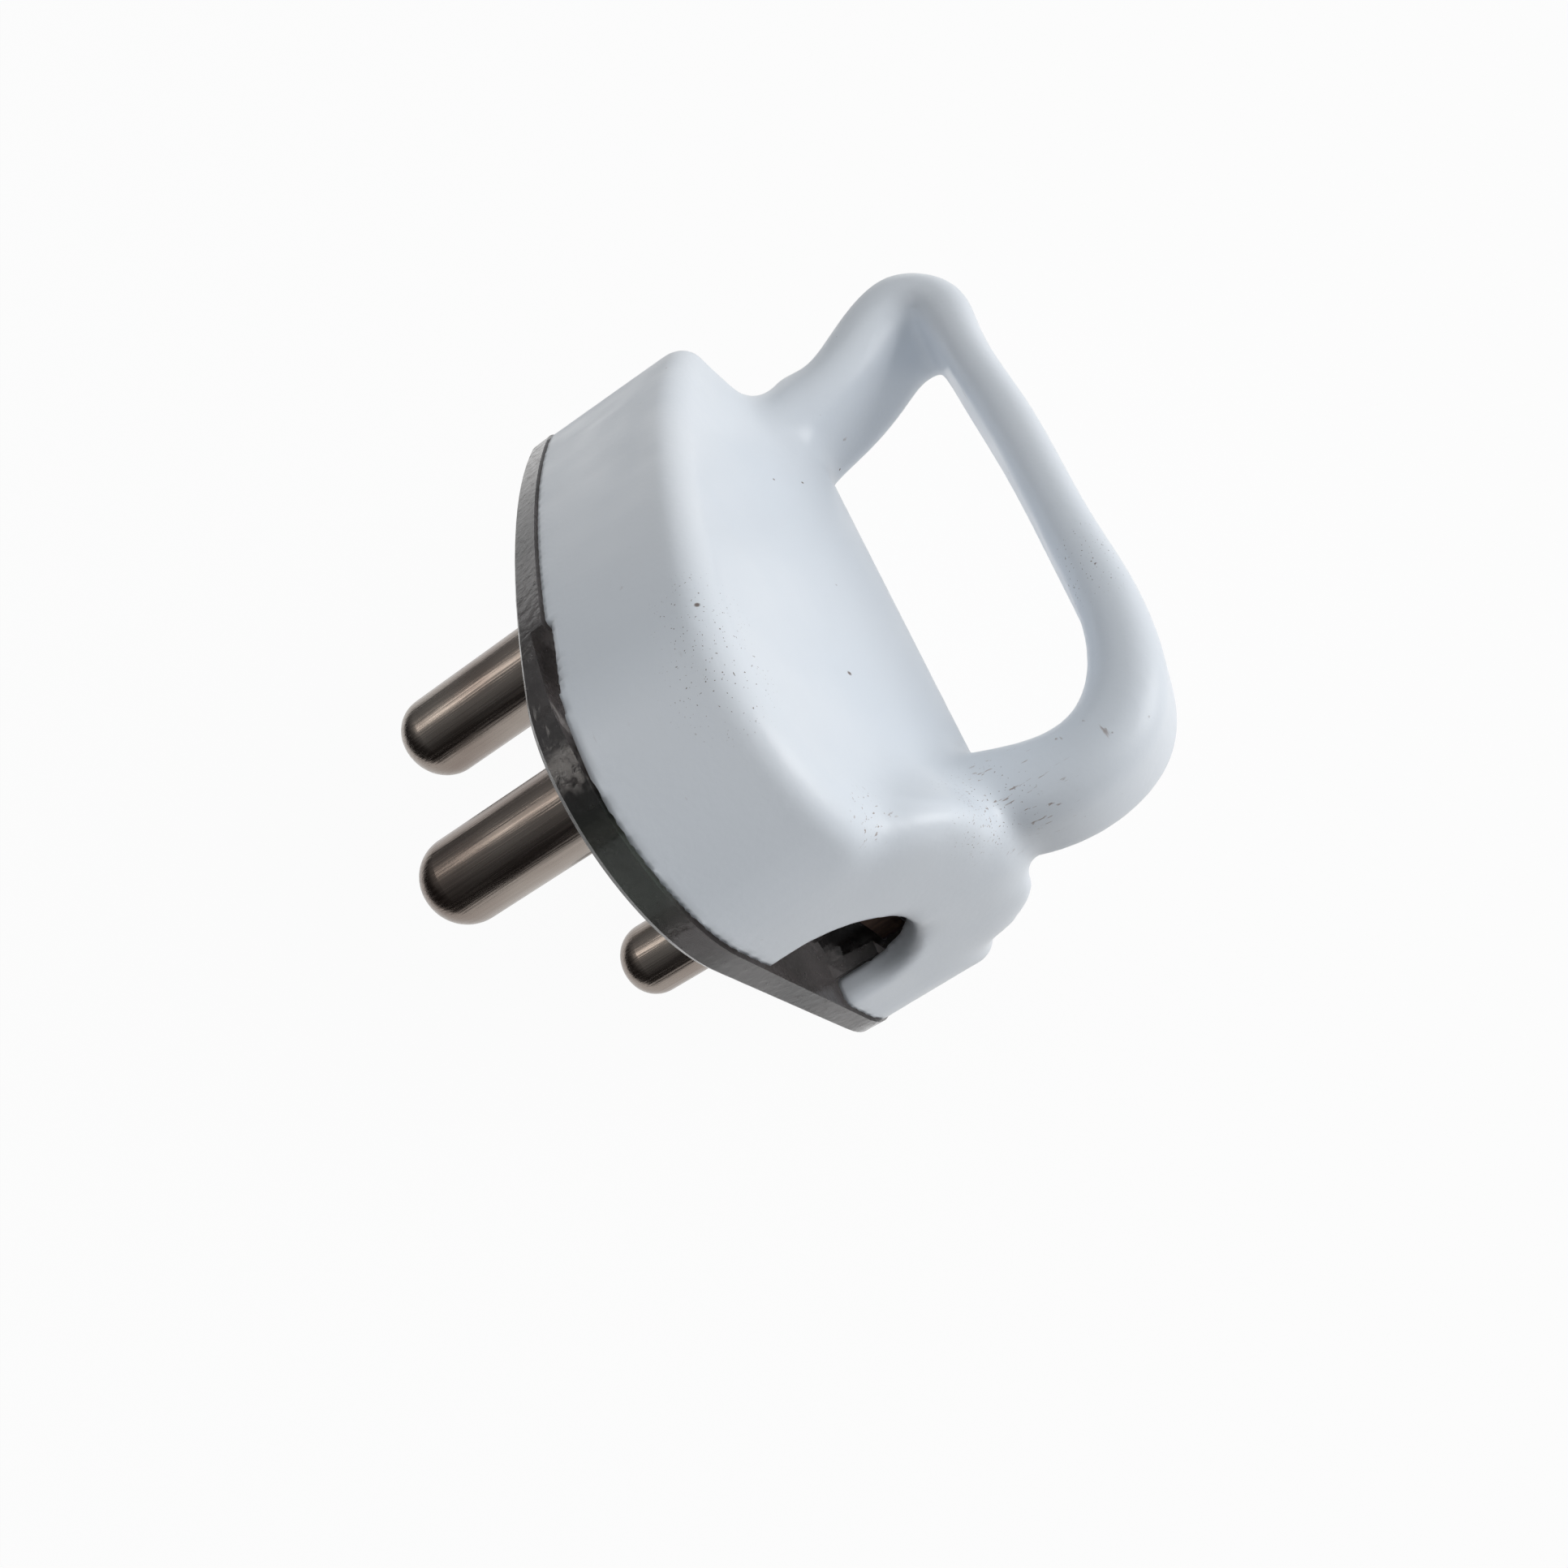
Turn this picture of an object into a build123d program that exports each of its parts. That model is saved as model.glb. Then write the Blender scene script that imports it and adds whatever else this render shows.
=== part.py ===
from build123d import *
import os
from math import cos, radians, sin

os.makedirs("parts", exist_ok=True)

# A round-pin 16 A plug with a finger loop. Every sketch is drawn in the plug's own
# directions: x runs lengthwise to the cable end, y across the width, and heights are
# measured behind the engagement face, away from the pins.

# The plug lies on one long side. This is how far its length is turned up from level.
REST_TURN = 16.0

# Pins
CURRENT_PIN_DIAMETER = 7.05
CURRENT_PIN_LENGTH = 18.6
CURRENT_PIN_SPACING = 25.4
EARTH_PIN_DIAMETER = 8.7
EARTH_PIN_LENGTH = 28.6
EARTH_PIN_OFFSET = 28.6
PIN_TIP_ROUND = 0.86
PIN_COLLAR_STEP = 0.4
PIN_COLLAR_PROUD = 0.3
CURRENT_TERMINAL_DIAMETER = 9.4
EARTH_TERMINAL_DIAMETER = 10.8
TERMINAL_TOP = 9.8
TERMINAL_EDGE = 0.4
WIRE_HOLE_DIAMETER = 3.2
WIRE_HOLE_HEIGHT = 6.6

# Terminal screws
TERMINAL_SCREW_DIAMETER = 3.4
TERMINAL_SCREW_REACH = 2.6
TERMINAL_HEAD_DIAMETER = 5.8
TERMINAL_HEAD_HEIGHT = 1.6

# Shield-shaped outline of the plug
END_X = 16.2
END_FLAT_HALF = 10.9
CORNER_RADIUS = 13.7
CORNER_TURN = 98.0
SIDE_RADIUS = 138.0
SIDE_TURN = 116.0

# Each long side is drawn in two runs that meet here, so that one of its facets, and
# not a corner between two, lies under the centre of mass.
SIDE_MEETING = 105.7

# Clear base plate
PLATE_THICKNESS = 2.2
PLATE_EDGE = 0.35
SPIGOT_HEIGHT = 4.2
SPIGOT_WALL = 1.4
SPIGOT_GAP = 0.12
PIN_BOSS_WALL = 1.3
PIN_BOSS_RISE = 2.2
SADDLE_LENGTH = 4.0
SADDLE_HALF_WIDTH = 5.2
SADDLE_RISE = 1.6
SADDLE_FLOOR = 0.4
POST_DIAMETER = 6.0
POST_TOP = 6.6
RIB_THICKNESS = 1.3
RIB_RISE = 3.2
RIB_Y = 5.4
RIB_START = -6.0
RIB_END = 3.6

# White cover
RIM_GAP = 0.1
COVER_INSET = 0.15
COVER_WALL = 2.3
WALL_DRAFT = 2.0
ROOF_X = -15.5
ROOF_TILT = 3.2
ROOF_HALF = [(30.0, 12.9), (22.0, 14.7), (15.0, 15.7), (9.5, 17.2), (5.0, 19.6)]
ROOF_CREST = 21.9
ROOF_ROUND = 2.4
ROOF_THICKNESS = 2.4
SHOULDER_START_X = 4.0
SHOULDER_START = [(6.0, 13.8), (5.2, 15.2), (4.0, 16.5)]
SHOULDER_START_CREST = 17.5
SHOULDER_END = [(14.8, 13.8), (14.0, 17.4), (10.8, 19.8)]
SHOULDER_END_CREST = 20.8
SHOULDER_ROUND = 1.6
EARTH_LEG_ROUND = 3.0
CABLE_LEG_ROUND = 1.0
EARTH_FALL = [(-25.0, 24.2), (-38.0, 18.9), (-50.0, 14.8)]
CAVITY_TOP = 13.8
BODY_MARGIN = 3.0
NOTCH_START = -5.5
NOTCH_END = 7.4
NOTCH_LOW = 1.25
NOTCH_HIGH = 2.75

# Cable entry in the flat end
ENTRY_HALF_WIDTH = 6.3
ENTRY_TOP = 11.0
ENTRY_LIP = 0.9

# Screw that joins the plate and the cover, with its captive nut
JOIN_X = -12.5
JOIN_SCREW_DIAMETER = 3.5
JOIN_SCREW_END = 12.6
JOIN_HEAD_DIAMETER = 6.6
JOIN_HEAD_HEIGHT = 1.9
JOIN_SEAT_HEIGHT = 2.6
JOIN_BOSS_DIAMETER = 10.6
JOIN_BOSS_TOP = 5.4
NUT_SIDE = 6.0
NUT_SEAT_HEIGHT = 8.0
NUT_THICKNESS = 2.6

# Cord clamp
CLAMP_X = 8.6
CLAMP_HOLE_SPACING = 17.6
CLAMP_WIDTH = 5.6
CLAMP_THICKNESS = 2.2
CLAMP_ARCH_HALF = 4.2
CLAMP_ARCH_RISE = 1.2
CLAMP_SCREW_DIAMETER = 2.9
CLAMP_SCREW_REACH = 6.4
CLAMP_HEAD_DIAMETER = 4.9
CLAMP_HEAD_HEIGHT = 1.6

# Fits
RUNNING_GAP = 0.08
HEAD_GAP = 0.3
SLOT_WIDTH = 0.9
SLOT_DEPTH = 0.8
HEAD_EDGE = 0.35
HOLE_END_GAP = 0.6

# How far a cut or a joined piece runs past the face that it crosses
CUT_MARGIN = 1.0

# The handle follows these stations from the earth end round to the cable end: place
# lengthwise, height, heading in degrees, width on the loop's side, width on the outer
# side, and thickness.
HANDLE_STATIONS = [
    (-31.4, 14.0, 94, 20.0, 11.0, 9.4),
    (-32.5, 20.6, 99, 15.6, 8.0, 7.4),
    (-34.1, 26.2, 102, 12.6, 8.8, 6.8),
    (-36.2, 31.4, 102, 11.0, 10.2, 7.2),
    (-37.4, 35.8, 72, 10.4, 10.4, 7.2),
    (-34.9, 38.4, 24, 9.8, 9.8, 4.6),
    (-29.0, 38.3, -4, 9.4, 9.4, 4.0),
    (-17.5, 37.2, -7, 9.2, 9.2, 3.8),
    (-4.0, 35.4, -8, 9.2, 9.2, 3.8),
    (5.4, 33.8, -18, 9.4, 9.4, 4.6),
    (10.8, 30.6, -54, 9.6, 9.6, 5.8),
    (12.3, 26.0, -88, 9.6, 9.6, 6.2),
    (11.0, 20.8, -98, 9.8, 10.2, 6.6),
    (9.8, 15.0, -99, 10.4, 11.0, 9.0),
]
HANDLE_ROUND_SHARE = 0.45

LENGTHWISE = Vector(cos(radians(REST_TURN)), 0, sin(radians(REST_TURN)))
ACROSS = Vector(-sin(radians(REST_TURN)), 0, cos(radians(REST_TURN)))
BACKWARD = Vector(0, 1, 0)
RIM_HEIGHT = PLATE_THICKNESS + RIM_GAP
CORNER_CENTRE = (END_X - CORNER_RADIUS, END_FLAT_HALF)
SIDE_CENTRE = (
    CORNER_CENTRE[0] + (CORNER_RADIUS - SIDE_RADIUS) * cos(radians(CORNER_TURN)),
    CORNER_CENTRE[1] + (CORNER_RADIUS - SIDE_RADIUS) * sin(radians(CORNER_TURN)),
)
EARTH_RADIUS = SIDE_CENTRE[1] / sin(radians(SIDE_TURN)) + SIDE_RADIUS
EARTH_CENTRE_X = SIDE_CENTRE[0] + (SIDE_RADIUS - EARTH_RADIUS) * cos(radians(SIDE_TURN))
EARTH_END_X = EARTH_CENTRE_X - EARTH_RADIUS
BODY_HALF_WIDTH = END_FLAT_HALF + CORNER_RADIUS
PIN_PLACES = {
    "earth": (-EARTH_PIN_OFFSET, 0),
    "line": (0, CURRENT_PIN_SPACING / 2),
    "neutral": (0, -CURRENT_PIN_SPACING / 2),
}
CLAMP_PLACES = {"near": (CLAMP_X, CLAMP_HOLE_SPACING / 2), "far": (CLAMP_X, -CLAMP_HOLE_SPACING / 2)}


def level(height, x=0.0, y=0.0):
    """A plane parallel to the engagement face, behind it, that faces the pins."""
    origin = LENGTHWISE * x + ACROSS * y + Vector(0, height, 0)
    return Plane(origin=origin, x_dir=LENGTHWISE, z_dir=(0, -1, 0))


def lengthwise_plane(y=0.0):
    """The plug's plane of symmetry, or one beside it: x lengthwise and y as height."""
    return Plane(origin=ACROSS * y, x_dir=LENGTHWISE, z_dir=ACROSS)


def cross_plane(x):
    """A plane square to the length that faces the cable end: x across, y as height."""
    return Plane(origin=LENGTHWISE * x, x_dir=-ACROSS, z_dir=LENGTHWISE)


def handle_plane(x, height, heading):
    """The plane of one handle station, square to the handle's own line."""
    centre = LENGTHWISE * x + Vector(0, height, 0)
    along = LENGTHWISE * cos(radians(heading)) + Vector(0, sin(radians(heading)), 0)
    return Plane(origin=centre, x_dir=ACROSS, z_dir=along)


def shield(inset=0.0):
    """The plug's outline: flat cable end, full corners, long sides, round earth end."""
    corner, side = CORNER_CENTRE, SIDE_CENTRE
    front_run, rear_run = SIDE_MEETING - CORNER_TURN, SIDE_TURN - SIDE_MEETING
    with BuildSketch(Plane.XY) as outline:
        with BuildLine():
            Line((END_X, -END_FLAT_HALF), (END_X, END_FLAT_HALF))
            CenterArc(corner, CORNER_RADIUS, 0, CORNER_TURN)
            CenterArc(side, SIDE_RADIUS, CORNER_TURN, front_run)
            CenterArc(side, SIDE_RADIUS, SIDE_MEETING, rear_run)
            CenterArc((EARTH_CENTRE_X, 0), EARTH_RADIUS, SIDE_TURN, 360 - 2 * SIDE_TURN)
            CenterArc((side[0], -side[1]), SIDE_RADIUS, 360 - SIDE_TURN, rear_run)
            CenterArc((side[0], -side[1]), SIDE_RADIUS, 360 - SIDE_MEETING, front_run)
            CenterArc((corner[0], -corner[1]), CORNER_RADIUS, 360 - CORNER_TURN, CORNER_TURN)
        make_face()
        if inset > 0:
            offset(amount=-inset)
    return outline.sketch


def hill(halves, crest, top=None):
    """A rounded hill across the plug, or with a top all the room above that hill."""
    far_side = [(-y, height) for y, height in halves]
    near_side = [(y, height) for y, height in reversed(halves)]
    with BuildSketch(Plane.XY) as section:
        with BuildLine():
            line = Spline(*far_side, (0, crest), *near_side)
            if top is None:
                Line(line @ 1, line @ 0)
            else:
                Polyline(line @ 1, (halves[0][0], top), (-halves[0][0], top), line @ 0)
        make_face()
    return section.sketch


def drafted_body():
    """The plug's whole outline above the rim, drafted and higher than the back."""
    with BuildPart() as body:
        with BuildSketch(level(RIM_HEIGHT)):
            add(shield(COVER_INSET))
        extrude(amount=-(ROOF_CREST + BODY_MARGIN - RIM_HEIGHT), taper=WALL_DRAFT)
    return body.part


def roof_space(drop=0.0):
    """All the room above the back: low long facets with a rounded spine between them."""
    along = LENGTHWISE * cos(radians(ROOF_TILT)) - BACKWARD * sin(radians(ROOF_TILT))
    reach = 2 * (END_X - EARTH_END_X)
    start = LENGTHWISE * ROOF_X - along * reach / 2 - BACKWARD * drop
    with BuildPart() as space:
        with BuildSketch(Plane(origin=start, x_dir=-ACROSS, z_dir=along)):
            add(hill(ROOF_HALF, ROOF_CREST, 3 * ROOF_CREST))
        extrude(amount=reach)
    return space.part


def handle_section(inner, outer, thickness):
    """One section of the handle, with its loop side first and soft corners."""
    with BuildSketch(Plane.XY) as section:
        with BuildLine():
            Polyline(
                (inner / 2, thickness / 2),
                (-inner / 2, thickness / 2),
                (-outer / 2, -thickness / 2),
                (outer / 2, -thickness / 2),
                close=True,
            )
        make_face()
        fillet(section.vertices(), radius=HANDLE_ROUND_SHARE * thickness)
    return section.sketch


def bored_head(diameter, height, seat, place):
    """A slotted cheese head that stands on its seat, with its top edge taken off."""
    with BuildPart() as head:
        with BuildSketch(level(seat, *place)):
            Circle(diameter / 2)
        extrude(amount=-height)
        chamfer(head.edges().sort_by(Axis.Y)[-1], length=HEAD_EDGE)
        with BuildSketch(level(seat + height, *place)):
            Rectangle(SLOT_WIDTH, diameter + CUT_MARGIN)
        extrude(amount=SLOT_DEPTH, mode=Mode.SUBTRACT)
    return head.part


# Room above the back, and the hollow of the cover one roof thickness below it.
back_space = roof_space()
hollow_space = roof_space(ROOF_THICKNESS)
with BuildPart() as hollow:
    with BuildSketch(level(RIM_HEIGHT)):
        add(shield(COVER_INSET + COVER_WALL))
    extrude(amount=-(CAVITY_TOP - RIM_HEIGHT), taper=WALL_DRAFT)
    add(hollow_space, mode=Mode.SUBTRACT)

# The back swells into a shoulder on both sides of the handle's cable leg, flush with
# the end wall.
with BuildPart() as shoulder:
    with BuildSketch(cross_plane(SHOULDER_START_X)):
        add(hill(SHOULDER_START, SHOULDER_START_CREST))
    with BuildSketch(cross_plane(END_X + CUT_MARGIN)):
        add(hill(SHOULDER_END, SHOULDER_END_CREST))
    loft()
    add(drafted_body(), mode=Mode.INTERSECT)
    end_face = shoulder.faces().sort_by(Axis((0, 0, 0), tuple(LENGTHWISE)))[-1]
    fillet(end_face.edges().sort_by(Axis.Y)[-1], radius=SHOULDER_ROUND)

# A tapering notch in both long rims, as deep as the spigot wall, parts the two mouldings.
with BuildPart() as pry_notch:
    with BuildSketch(lengthwise_plane()):
        with BuildLine():
            Polyline((NOTCH_START, NOTCH_LOW), (NOTCH_END, RIM_HEIGHT), (NOTCH_START, NOTCH_HIGH), close=True)
        make_face()
    extrude(amount=2 * BODY_HALF_WIDTH, both=True)
    with BuildSketch(level(0)):
        add(shield(COVER_INSET + COVER_WALL + SPIGOT_GAP))
    extrude(amount=-2 * PLATE_THICKNESS, mode=Mode.SUBTRACT)

with BuildPart() as cover:
    add(drafted_body())
    add(back_space, mode=Mode.SUBTRACT)

    # The back falls away behind the loop towards the earth end.
    with BuildSketch(lengthwise_plane()):
        with BuildLine():
            fall = ThreePointArc(*EARTH_FALL)
            Polyline(
                fall @ 1,
                (EARTH_FALL[2][0], 2 * ROOF_CREST),
                (EARTH_FALL[0][0], 2 * ROOF_CREST),
                fall @ 0,
            )
        make_face()
    extrude(amount=BODY_HALF_WIDTH * 1.5, both=True, mode=Mode.SUBTRACT)
    wall_foot = RIM_HEIGHT + COVER_WALL
    wall_top = [e for e in cover.edges() if min((e @ 0).Y, (e @ 1).Y) > wall_foot]
    fillet(wall_top, radius=ROOF_ROUND)

    # The handle is one smooth loft through its stations, rooted inside the back.
    for x, height, heading, inner, outer, thickness in HANDLE_STATIONS:
        with BuildSketch(handle_plane(x, height, heading)):
            add(handle_section(inner, outer, thickness))
    loft()
    seam = cover.edges(Select.NEW)
    fillet([e for e in seam if e.center().dot(LENGTHWISE) < ROOF_X], radius=EARTH_LEG_ROUND)
    fillet([e for e in seam if e.center().dot(LENGTHWISE) > ROOF_X], radius=CABLE_LEG_ROUND)
    add(shoulder.part)
    add(hollow.part, mode=Mode.SUBTRACT)

    # The cord enters through an arch in the flat end.
    arch_centre = ENTRY_TOP - ENTRY_HALF_WIDTH
    with BuildSketch(cross_plane(END_X + CUT_MARGIN)):
        with Locations((0, arch_centre)):
            Circle(ENTRY_HALF_WIDTH)
        with Locations((0, arch_centre / 2)):
            Rectangle(2 * ENTRY_HALF_WIDTH, arch_centre)
    extrude(amount=-2 * COVER_WALL, mode=Mode.SUBTRACT)
    mouth = [e for e in cover.edges(Select.NEW) if e.center().dot(LENGTHWISE) > END_X - CUT_MARGIN]
    fillet(mouth, radius=ENTRY_LIP)
    add(pry_notch.part, mode=Mode.SUBTRACT)

    # Boss for the join screw, with a side slot for its captive square nut.
    with BuildSketch(level(JOIN_BOSS_TOP + RIM_GAP, JOIN_X)):
        Circle(JOIN_BOSS_DIAMETER / 2)
    extrude(amount=-(CAVITY_TOP + CUT_MARGIN - JOIN_BOSS_TOP))
    with BuildSketch(level(JOIN_BOSS_TOP, JOIN_X)):
        Circle(JOIN_SCREW_DIAMETER / 2 + RUNNING_GAP)
    extrude(amount=-(JOIN_SCREW_END + HOLE_END_GAP - JOIN_BOSS_TOP), mode=Mode.SUBTRACT)
    slot_half = NUT_SIDE / 2 + RUNNING_GAP
    with BuildSketch(level(NUT_SEAT_HEIGHT, JOIN_X)):
        with Locations(((slot_half - JOIN_BOSS_DIAMETER) / 2, 0)):
            Rectangle(JOIN_BOSS_DIAMETER + slot_half, 2 * slot_half)
    extrude(amount=-(NUT_THICKNESS + RUNNING_GAP), mode=Mode.SUBTRACT)

with BuildPart() as base_plate:
    with BuildSketch(level(0)):
        add(shield())
    extrude(amount=-PLATE_THICKNESS)
    chamfer(base_plate.faces().sort_by(Axis.Y)[0].edges(), length=PLATE_EDGE)
    add(pry_notch.part, mode=Mode.SUBTRACT)

    # A spigot wall locates the cover from inside.
    with BuildSketch(level(PLATE_THICKNESS)):
        add(shield(COVER_INSET + COVER_WALL + SPIGOT_GAP))
        add(shield(COVER_INSET + COVER_WALL + SPIGOT_GAP + SPIGOT_WALL), mode=Mode.SUBTRACT)
    extrude(amount=-SPIGOT_HEIGHT, taper=WALL_DRAFT)

    # Bosses, clamp posts, a cord saddle and two barrier ribs stand behind the plate.
    with BuildSketch(level(PLATE_THICKNESS)):
        with Locations(PIN_PLACES["earth"]):
            Circle(EARTH_TERMINAL_DIAMETER / 2 + RUNNING_GAP + PIN_BOSS_WALL)
        with Locations(PIN_PLACES["line"], PIN_PLACES["neutral"]):
            Circle(CURRENT_TERMINAL_DIAMETER / 2 + RUNNING_GAP + PIN_BOSS_WALL)
    extrude(amount=-PIN_BOSS_RISE)
    with BuildSketch(level(PLATE_THICKNESS)):
        with Locations(((RIB_START + RIB_END) / 2, RIB_Y), ((RIB_START + RIB_END) / 2, -RIB_Y)):
            Rectangle(RIB_END - RIB_START, RIB_THICKNESS)
    extrude(amount=-RIB_RISE)
    with BuildSketch(level(PLATE_THICKNESS)):
        with Locations(*CLAMP_PLACES.values()):
            Circle(POST_DIAMETER / 2)
    extrude(amount=-(POST_TOP - PLATE_THICKNESS))
    with BuildSketch(cross_plane(CLAMP_X)):
        with BuildLine():
            cradle = ThreePointArc(
                (-SADDLE_HALF_WIDTH, PLATE_THICKNESS + SADDLE_RISE),
                (0, PLATE_THICKNESS + SADDLE_FLOOR),
                (SADDLE_HALF_WIDTH, PLATE_THICKNESS + SADDLE_RISE),
            )
            Polyline(
                cradle @ 1,
                (SADDLE_HALF_WIDTH, PLATE_THICKNESS),
                (-SADDLE_HALF_WIDTH, PLATE_THICKNESS),
                cradle @ 0,
            )
        make_face()
    extrude(amount=SADDLE_LENGTH / 2, both=True)
    with BuildSketch(level(PLATE_THICKNESS, JOIN_X)):
        Circle(JOIN_BOSS_DIAMETER / 2)
    extrude(amount=-(JOIN_BOSS_TOP - PLATE_THICKNESS))

    # Holes for the pins, the join screw and its sunk head, and the clamp screws.
    with BuildSketch(level(0)):
        with Locations(PIN_PLACES["earth"]):
            Circle(EARTH_PIN_DIAMETER / 2 + PIN_COLLAR_STEP + RUNNING_GAP)
        with Locations(PIN_PLACES["line"], PIN_PLACES["neutral"]):
            Circle(CURRENT_PIN_DIAMETER / 2 + PIN_COLLAR_STEP + RUNNING_GAP)
    extrude(amount=-PLATE_THICKNESS, mode=Mode.SUBTRACT)
    with BuildSketch(level(PLATE_THICKNESS)):
        with Locations(PIN_PLACES["earth"]):
            Circle(EARTH_TERMINAL_DIAMETER / 2 + RUNNING_GAP)
        with Locations(PIN_PLACES["line"], PIN_PLACES["neutral"]):
            Circle(CURRENT_TERMINAL_DIAMETER / 2 + RUNNING_GAP)
    extrude(amount=-PIN_BOSS_RISE, mode=Mode.SUBTRACT)
    with BuildSketch(level(0, JOIN_X)):
        Circle(JOIN_HEAD_DIAMETER / 2 + HEAD_GAP)
    extrude(amount=-JOIN_SEAT_HEIGHT, mode=Mode.SUBTRACT)
    with BuildSketch(level(0, JOIN_X)):
        Circle(JOIN_SCREW_DIAMETER / 2 + RUNNING_GAP)
    extrude(amount=-JOIN_BOSS_TOP, mode=Mode.SUBTRACT)
    with BuildSketch(level(POST_TOP)):
        with Locations(*CLAMP_PLACES.values()):
            Circle(CLAMP_SCREW_DIAMETER / 2 + RUNNING_GAP)
    extrude(amount=CLAMP_SCREW_REACH - CLAMP_THICKNESS + HOLE_END_GAP, mode=Mode.SUBTRACT)

    # The spigot wall opens where the cord comes in.
    with BuildSketch(level(PLATE_THICKNESS)):
        with Locations((END_X, 0)):
            Rectangle(2 * (COVER_WALL + SPIGOT_WALL + CUT_MARGIN), 2 * ENTRY_HALF_WIDTH)
    extrude(amount=-SPIGOT_HEIGHT, mode=Mode.SUBTRACT)

pins = {}
for name, diameter, length, block in (
    ("earth", EARTH_PIN_DIAMETER, EARTH_PIN_LENGTH, EARTH_TERMINAL_DIAMETER),
    ("line", CURRENT_PIN_DIAMETER, CURRENT_PIN_LENGTH, CURRENT_TERMINAL_DIAMETER),
    ("neutral", CURRENT_PIN_DIAMETER, CURRENT_PIN_LENGTH, CURRENT_TERMINAL_DIAMETER),
):
    place = PIN_PLACES[name]
    with BuildPart() as pin:
        with BuildSketch(level(PLATE_THICKNESS, *place)):
            Circle(diameter / 2)
        extrude(amount=length + PLATE_THICKNESS)
        fillet(pin.edges().sort_by(Axis.Y)[0], radius=PIN_TIP_ROUND * diameter / 2)

        # A collar fills the plate's hole and stands just proud of the face.
        with BuildSketch(level(PLATE_THICKNESS, *place)):
            Circle(diameter / 2 + PIN_COLLAR_STEP)
        extrude(amount=PLATE_THICKNESS + PIN_COLLAR_PROUD)

        # The terminal block stands on the plate and takes the core from the side.
        with BuildSketch(level(PLATE_THICKNESS, *place)):
            Circle(block / 2)
        extrude(amount=-(TERMINAL_TOP - PLATE_THICKNESS))
        chamfer(pin.edges().sort_by(Axis.Y)[-1], length=TERMINAL_EDGE)
        hole_plane = cross_plane(place[0])
        with BuildSketch(hole_plane):
            with Locations((-place[1], WIRE_HOLE_HEIGHT)):
                Circle(WIRE_HOLE_DIAMETER / 2)
        extrude(amount=block, both=True, mode=Mode.SUBTRACT)
        with BuildSketch(level(TERMINAL_TOP, *place)):
            Circle(TERMINAL_SCREW_DIAMETER / 2 + RUNNING_GAP)
        extrude(amount=TERMINAL_TOP - WIRE_HOLE_HEIGHT, mode=Mode.SUBTRACT)
    pins[name] = pin
    with BuildPart() as terminal_screw:
        add(bored_head(TERMINAL_HEAD_DIAMETER, TERMINAL_HEAD_HEIGHT, TERMINAL_TOP, place))
        with BuildSketch(level(TERMINAL_TOP, *place)):
            Circle(TERMINAL_SCREW_DIAMETER / 2)
        extrude(amount=TERMINAL_SCREW_REACH)
    pins[name + " screw"] = terminal_screw

with BuildPart() as join_screw:
    with BuildSketch(level(JOIN_SEAT_HEIGHT, JOIN_X)):
        Circle(JOIN_HEAD_DIAMETER / 2)
    extrude(amount=JOIN_HEAD_HEIGHT)
    chamfer(join_screw.edges().sort_by(Axis.Y)[0], length=HEAD_EDGE)
    with BuildSketch(level(JOIN_SEAT_HEIGHT - JOIN_HEAD_HEIGHT, JOIN_X)):
        Rectangle(JOIN_HEAD_DIAMETER + CUT_MARGIN, SLOT_WIDTH)
    extrude(amount=-SLOT_DEPTH, mode=Mode.SUBTRACT)
    with BuildSketch(level(JOIN_SEAT_HEIGHT, JOIN_X)):
        Circle(JOIN_SCREW_DIAMETER / 2)
    extrude(amount=-(JOIN_SCREW_END - JOIN_SEAT_HEIGHT))
    chamfer(join_screw.edges().sort_by(Axis.Y)[-1], length=HEAD_EDGE)

with BuildPart() as join_nut:
    with BuildSketch(level(NUT_SEAT_HEIGHT, JOIN_X)):
        Rectangle(NUT_SIDE, NUT_SIDE)
        Circle(JOIN_SCREW_DIAMETER / 2 + RUNNING_GAP, mode=Mode.SUBTRACT)
    extrude(amount=-NUT_THICKNESS)
    chamfer(join_nut.edges().filter_by(Axis.Y), length=HEAD_EDGE)

# The clamp bar lies across its two posts and arches over the cord.
with BuildPart() as cord_clamp:
    with BuildSketch(level(POST_TOP, CLAMP_X)):
        SlotOverall(CLAMP_HOLE_SPACING + CLAMP_WIDTH, CLAMP_WIDTH, rotation=90)
    extrude(amount=-CLAMP_THICKNESS)
    with BuildSketch(cross_plane(CLAMP_X)):
        with BuildLine():
            hump = ThreePointArc(
                (-CLAMP_ARCH_HALF, POST_TOP),
                (0, POST_TOP + CLAMP_ARCH_RISE),
                (CLAMP_ARCH_HALF, POST_TOP),
            )
            Line(hump @ 1, hump @ 0)
        make_face()
    extrude(amount=CLAMP_WIDTH, both=True, mode=Mode.SUBTRACT)
    with BuildSketch(level(POST_TOP)):
        with Locations(*CLAMP_PLACES.values()):
            Circle(CLAMP_SCREW_DIAMETER / 2 + RUNNING_GAP)
    extrude(amount=-CLAMP_THICKNESS, mode=Mode.SUBTRACT)
    chamfer(cord_clamp.faces().sort_by(Axis.Y)[-1].outer_wire().edges(), length=HEAD_EDGE)

clamp_seat = POST_TOP + CLAMP_THICKNESS
clamp_screws = {}
for name, place in CLAMP_PLACES.items():
    with BuildPart() as clamp_screw:
        add(bored_head(CLAMP_HEAD_DIAMETER, CLAMP_HEAD_HEIGHT, clamp_seat, place))
        with BuildSketch(level(clamp_seat, *place)):
            Circle(CLAMP_SCREW_DIAMETER / 2)
        extrude(amount=CLAMP_SCREW_REACH)
    clamp_screws[name] = clamp_screw

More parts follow.
